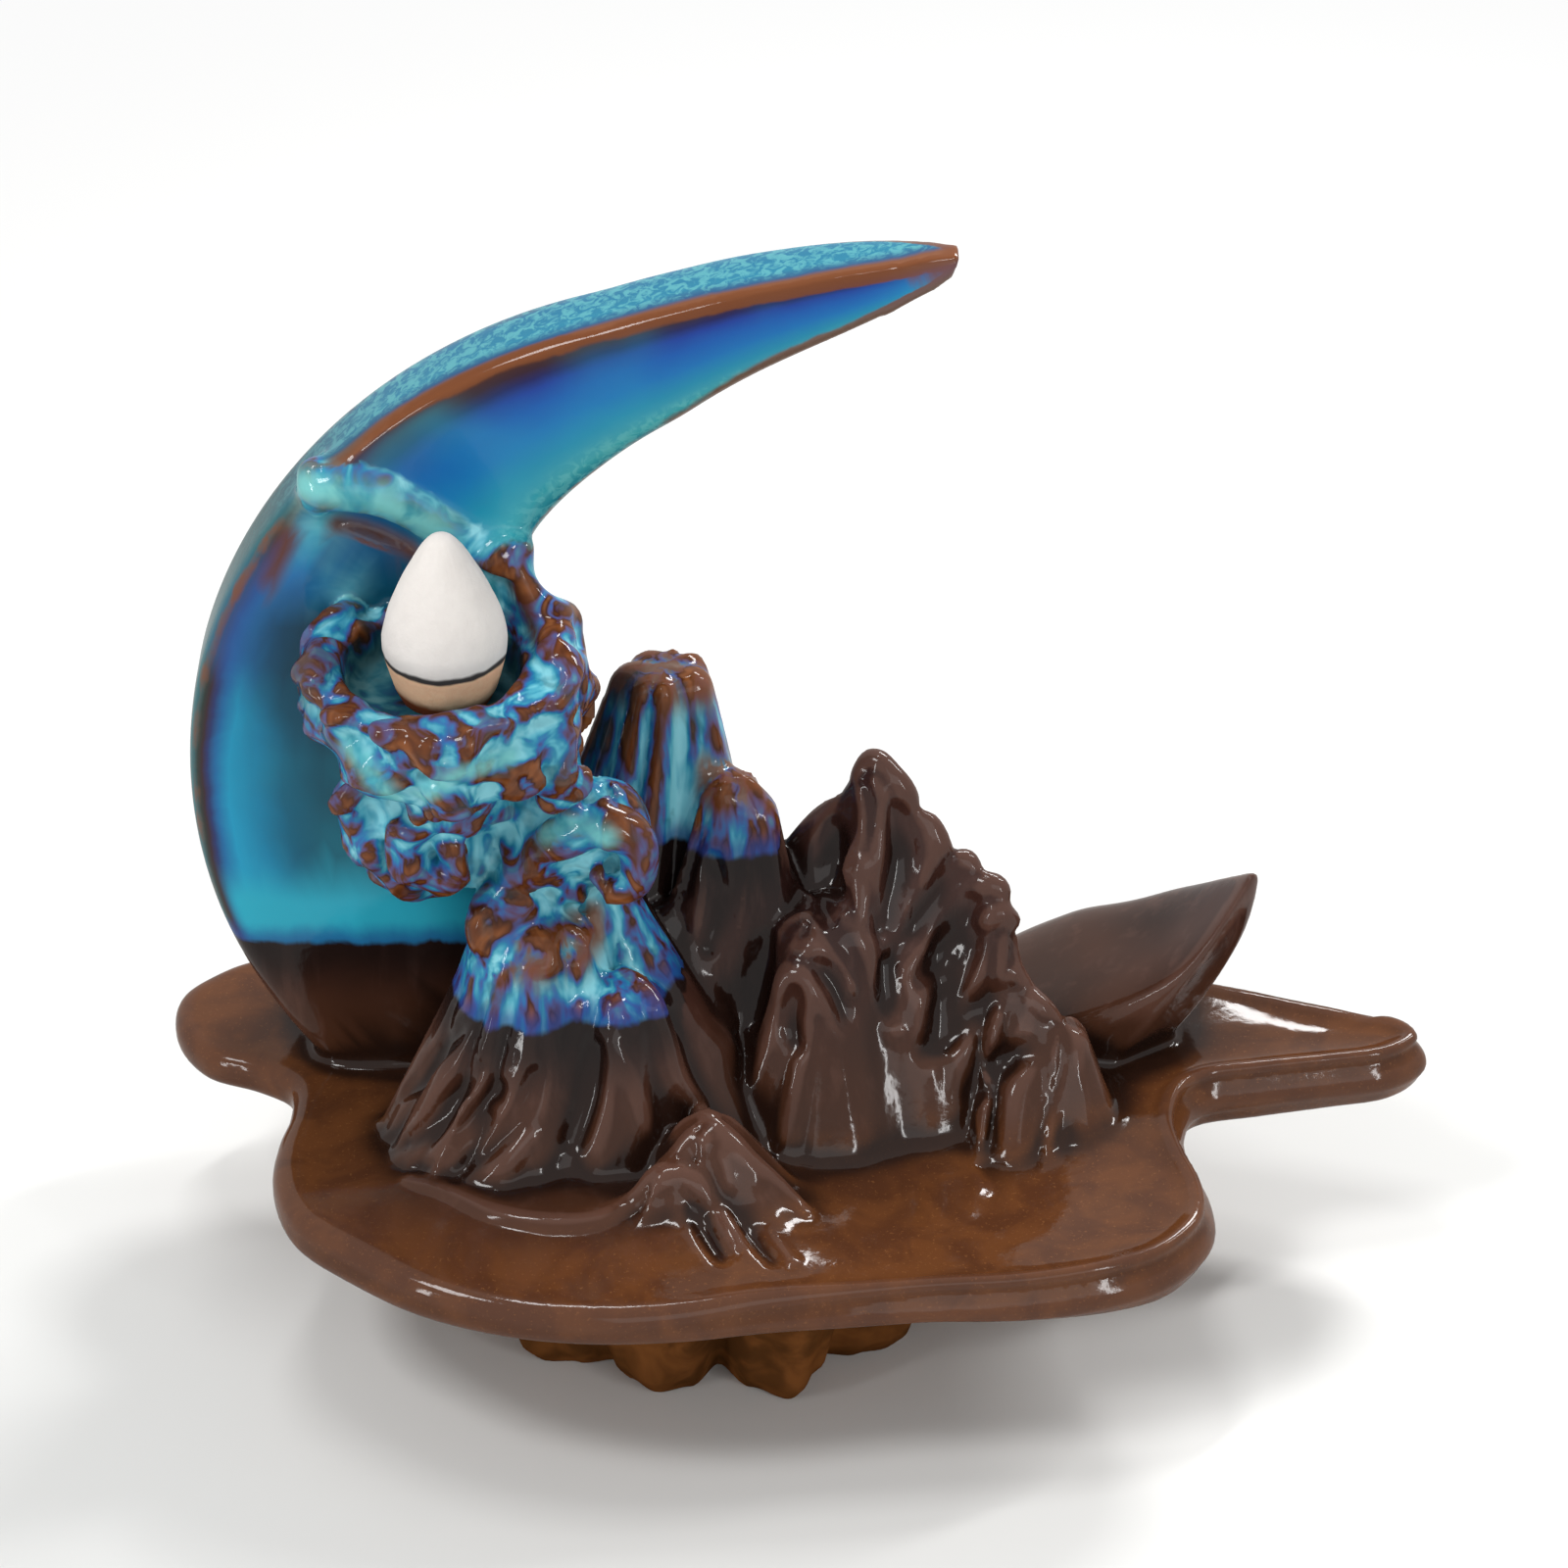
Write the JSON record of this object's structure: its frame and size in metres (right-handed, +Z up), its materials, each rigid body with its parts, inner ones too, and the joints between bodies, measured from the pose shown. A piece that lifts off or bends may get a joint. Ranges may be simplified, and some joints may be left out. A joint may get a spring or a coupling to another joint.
{
  "type": "backflow incense burner",
  "caption": "Glazed ceramic backflow incense burner: a crescent moon with a cloud bowl for a cone, ribbed mountains and a leaf-shaped plate on a rocky foot, with its cone.",
  "frame": {"origin": "middle of the bounding box, on the flat ground under the foot", "axes": "+X is the length of the plate, from the moon at the left to the pointed lobe at the right; +Y is the depth, with the open side of the bowl and the mountains towards -Y; +Z is up"},
  "size_m": [0.1582, 0.081, 0.1407],
  "materials": {
    "glaze": "glossy flowing glaze, aqua and blue above, dark chocolate brown below, bare tan-brown clay on the foot",
    "incense": "matte pressed incense powder, burnt to pale ash above a char ring, tan below"
  },
  "bodies": {
    "root": {"burner": "glaze", "incense_cone": "incense"}
  },
  "joints": []
}
